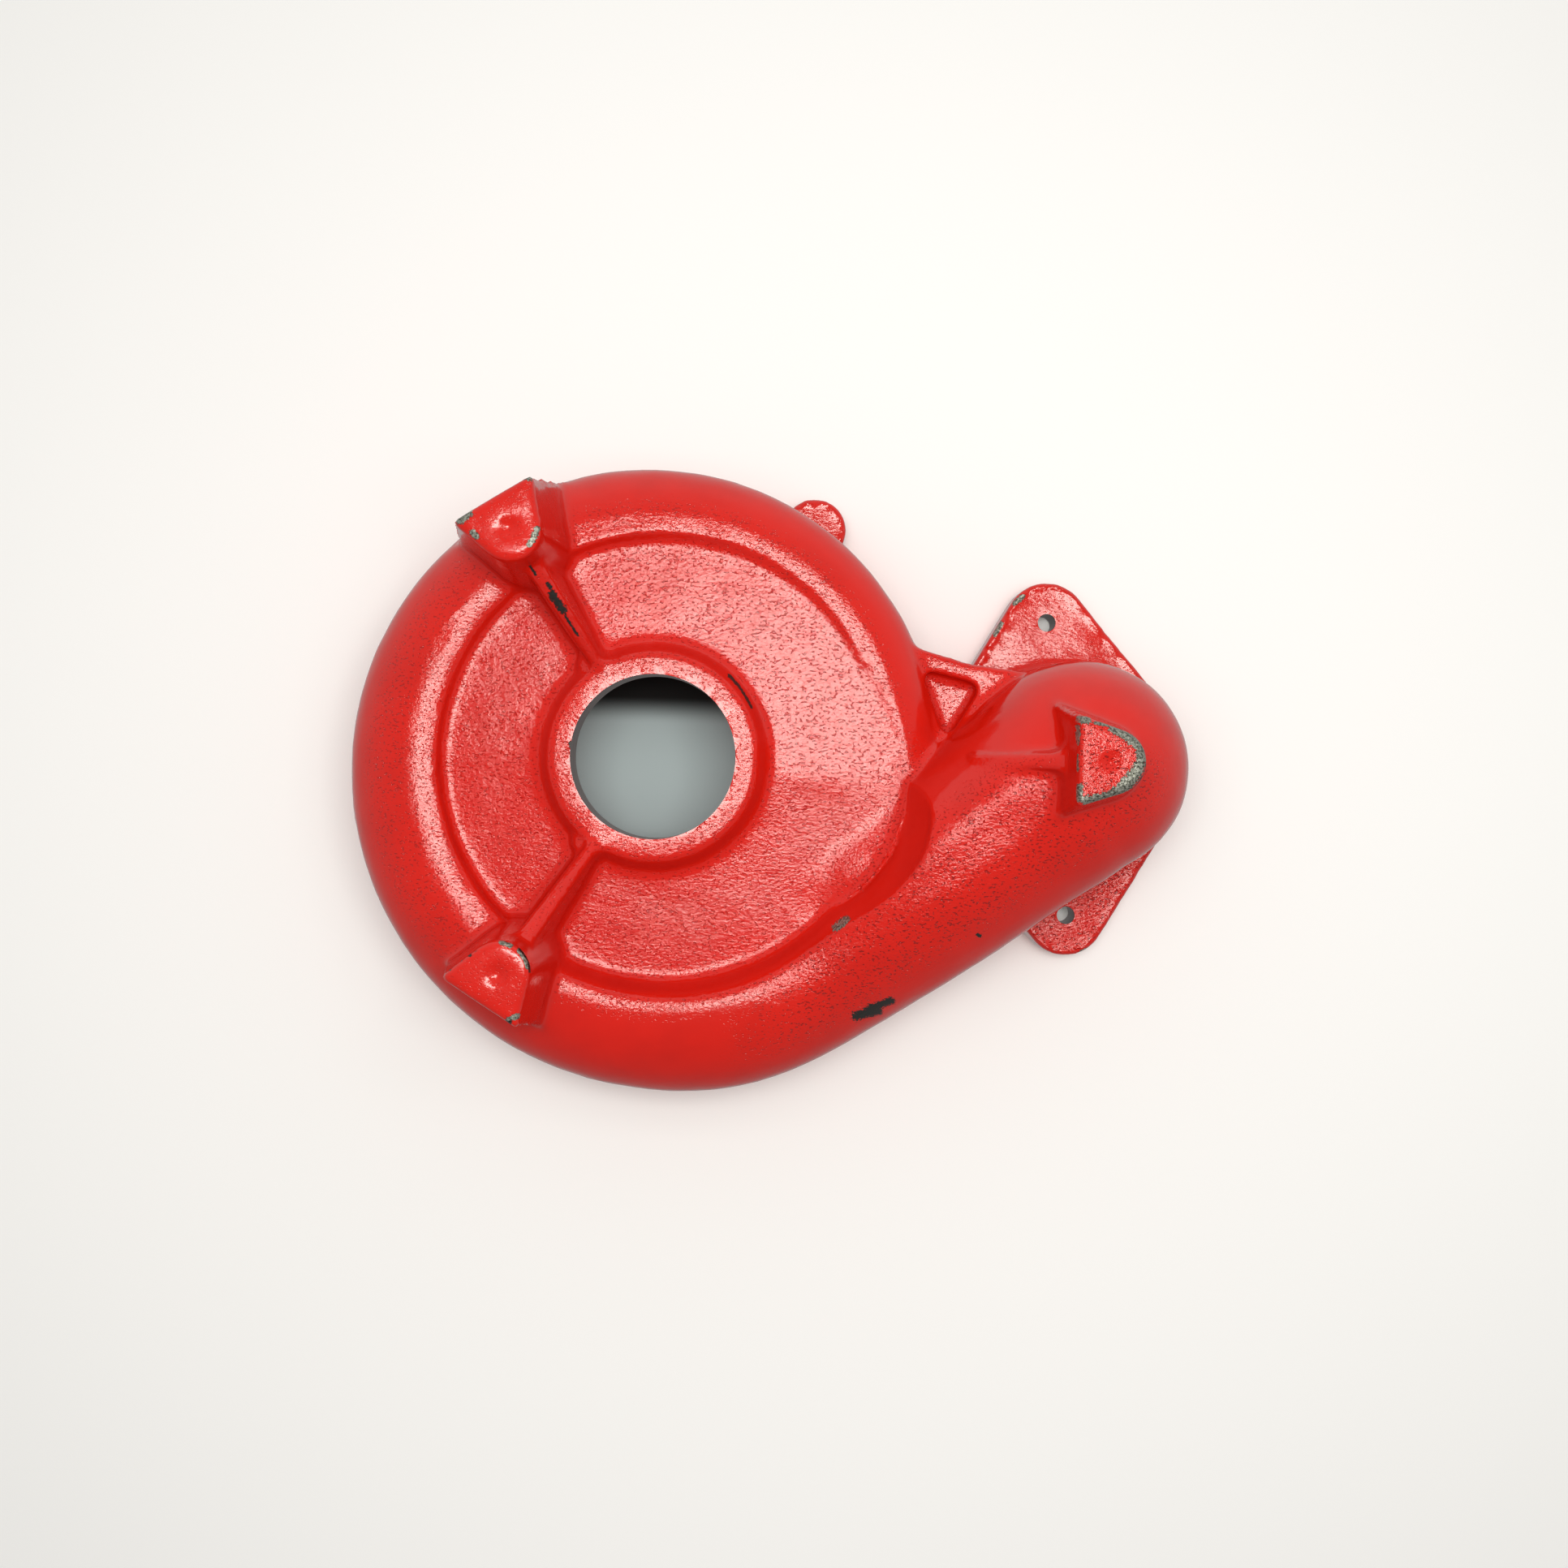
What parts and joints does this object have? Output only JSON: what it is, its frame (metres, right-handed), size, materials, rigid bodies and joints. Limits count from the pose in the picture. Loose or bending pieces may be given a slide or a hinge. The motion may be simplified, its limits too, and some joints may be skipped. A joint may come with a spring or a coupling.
{
  "type": "volute pump casing",
  "caption": "Cast spiral casing of a small submersible pump: round suction boss, neck and domed elbow to a two-bolt outlet flange, ribbed feet and mounting lugs.",
  "frame": {"origin": "centre of the motor register, in the plane of the motor face", "axes": "+Z along the shaft axis out of the suction bore, +X from the shaft axis to the discharge axis"},
  "size_m": [0.2257, 0.1638, 0.088],
  "materials": {
    "enamelled_iron": "gloss"
  },
  "bodies": {
    "root": {"volute_casing": "enamelled_iron"}
  },
  "joints": []
}
